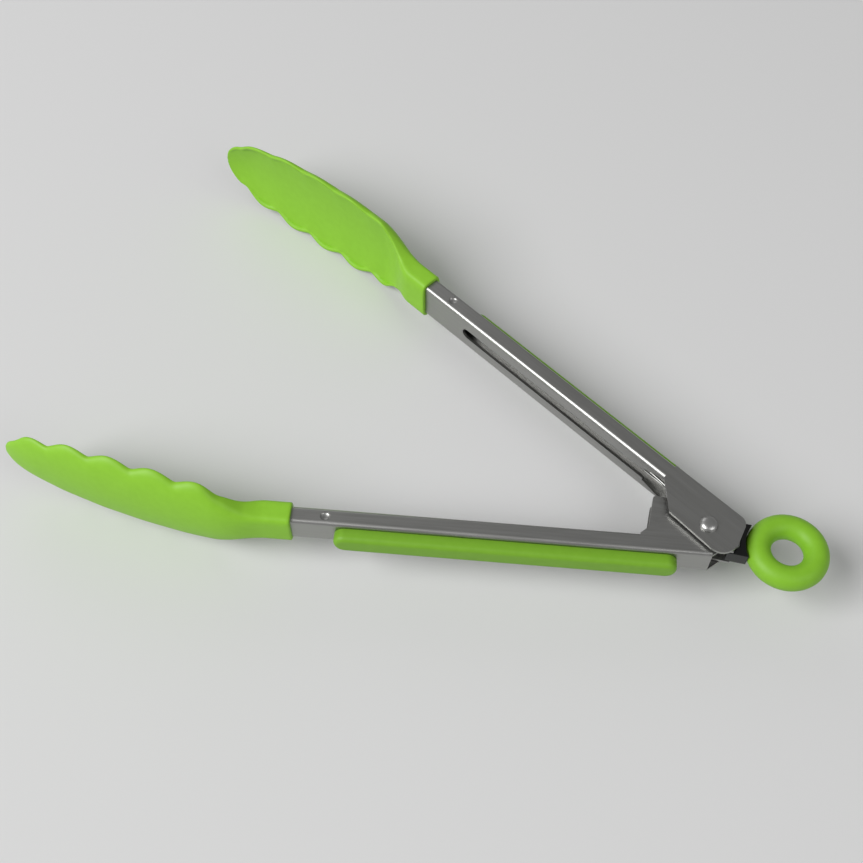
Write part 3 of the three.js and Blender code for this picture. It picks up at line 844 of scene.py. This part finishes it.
def spring():
    """The wire in two halves, which meet behind the rivet, and for each a point part way from the
    pivot to its knee, and the knee itself.
    """
    points, legs = wire_points()
    line = smooth_line(points)
    rings = []
    up = Vector((0, 0, 1))
    for i, p in enumerate(line):
        forward = (line[min(i + 1, len(line) - 1)] - line[max(i - 1, 0)]).normalized()
        side = forward.cross(up).normalized()
        over = side.cross(forward)
        rings.append([p + side * x + over * y for x, y in circle(WIRE_RADIUS, 12)])
    middle = len(rings) // 2
    halves = []
    for arm_name, side, part in (("upper", 1, rings[:middle + 1]), ("lower", -1, rings[middle:])):
        obj = loft("spring_" + arm_name, part)
        shade_by_angle(obj, SMOOTH_ROUND)
        knee = legs[side][2]
        halves.append((obj, arm_name, CENTRE @ (knee * BLEND_START), CENTRE @ knee))
    return halves


# ---------------------------------------------------------------- the tongs

upper_arm = arm("upper_channel", UPPER_WIDTH, square_ear(), round_ear(UPPER_EAR_RADIUS))
lower_ear = round_ear(LOWER_EAR_RADIUS)
lower_arm = arm("lower_channel", LOWER_WIDTH, lower_ear, lower_ear)
settle(upper_arm, UPPER, "upper", STEEL_UPPER, "steel", "upper_arm")
settle(lower_arm, LOWER, "lower", STEEL_LOWER, "steel", "lower_arm")
for side, place in (("upper", UPPER), ("lower", LOWER)):
    pad = grip(side + "_pad", side)
    settle(pad, place, side, GREEN_PAD_PAINTED_SHADE, "green_silicone", side + "_grip")
HEAD_PLACE = Matrix.Translation((HEAD_START, ARM_MIDDLE, 0))
for side, place, width in (("upper", UPPER, UPPER_WIDTH), ("lower", LOWER, LOWER_WIDTH)):
    jaw = head(side + "_jaw", side, width)
    settle(jaw, place @ HEAD_PLACE, side, GREEN, "green_silicone", side + "_head")
settle(rivet("rivet"), CENTRE, "pivot", BRIGHT, "bright_steel", "pivot_rivet")
for half_spring, arm_name, bend_start, bend_end in spring():
    settle(half_spring, CENTRE, None, WIRE, "spring_steel", "torsion_spring")
    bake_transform(half_spring)
for side, low in (("near", PLATE_Z), ("far", -PLATE_Z - STEEL)):
    settle(plate("plate_" + side, low), LOCK, "lock", STEEL_LOCK, "steel", "lock_plate_" + side)
settle(lock_body("lock_tab"), LOCK, "lock", BLACK, "black_nylon", "lock_body")
ring = torus("ring", RING_RADIUS, RING_TUBE)
settle(ring, LOCK, "lock", GREEN_RING_PAINTED_SHADE, "green_silicone", "ring_cover")

# CAD pieces that show as they are, in a finish set here
CARRIED = {
    "upper_head_core": WHITE, "lower_head_core": WHITE,
    "pivot_washer_near": BRIGHT, "pivot_washer_far": BRIGHT,
    "guide_bush_near": BRIGHT, "guide_bush_far": BRIGHT,
}
for node, look in CARRIED.items():
    mesh = frame["nodes"][node].data
    mesh.materials.clear()
    mesh.materials.append(look)


# ---------------------------------------------------------------- floor, light and camera

FLOOR_HALF = 6.0
LIGHT_TARGET = Vector((0, 0, 0.02))
LIGHTS = {
    "key": {"place": (-1.3, -1.3, 1.7), "size": 1.5, "power": 56},
    "fill": {"place": (1.2, -0.4, 1.2), "size": 1.0, "power": 6},
    "back": {"place": (-0.9, 0.9, 0.8), "size": 0.8, "power": 1.5},
}
WORLD_STRENGTH = 0.24


def floor():
    corners = [(x * FLOOR_HALF, y * FLOOR_HALF, 0) for x, y in ((-1, -1), (1, -1), (1, 1), (-1, 1))]
    obj = new_object("floor", corners, [(0, 1, 2, 3)])
    made, shader = material("floor_paint", "D6D6D6", 0.9, specular=0.1)
    obj.data.materials.append(made)
    return obj


def look_at(obj, place, target):
    obj.location = place
    obj.rotation_euler = (target - place).to_track_quat("-Z", "Y").to_euler()


def area_light(name, place, size, power):
    light = bpy.data.lights.new(name, "AREA")
    light.shape = "SQUARE"
    light.size = size
    light.energy = power
    obj = bpy.data.objects.new(name, light)
    bpy.context.scene.collection.objects.link(obj)
    look_at(obj, Vector(place), LIGHT_TARGET)


floor()
for light_name, light_form in LIGHTS.items():
    area_light(light_name, **light_form)

world = bpy.data.worlds.new("studio")
world.use_nodes = True
background = world.node_tree.nodes["Background"]
background.inputs["Color"].default_value = (1, 1, 1, 1)
background.inputs["Strength"].default_value = WORLD_STRENGTH
bpy.context.scene.world = world
bpy.context.scene.view_settings.view_transform = "Standard"

CAMERA_FROM_PIVOT = Vector((0.9, -192.4, 317.3)) * MM
TARGET_FROM_PIVOT = Vector((-90.2, -1.3, 0)) * MM
LENS = 50.06
SENSOR_WIDTH = 36
CLIP_START = 0.01
CLIP_END = 20
camera_data = bpy.data.cameras.new("camera")
camera_data.lens = LENS
camera_data.sensor_width = SENSOR_WIDTH
camera_data.clip_start = CLIP_START
camera_data.clip_end = CLIP_END
camera = bpy.data.objects.new("camera", camera_data)
bpy.context.scene.collection.objects.link(camera)
look_at(camera, PIVOT + CAMERA_FROM_PIVOT, PIVOT + TARGET_FROM_PIVOT)
bpy.context.scene.camera = camera
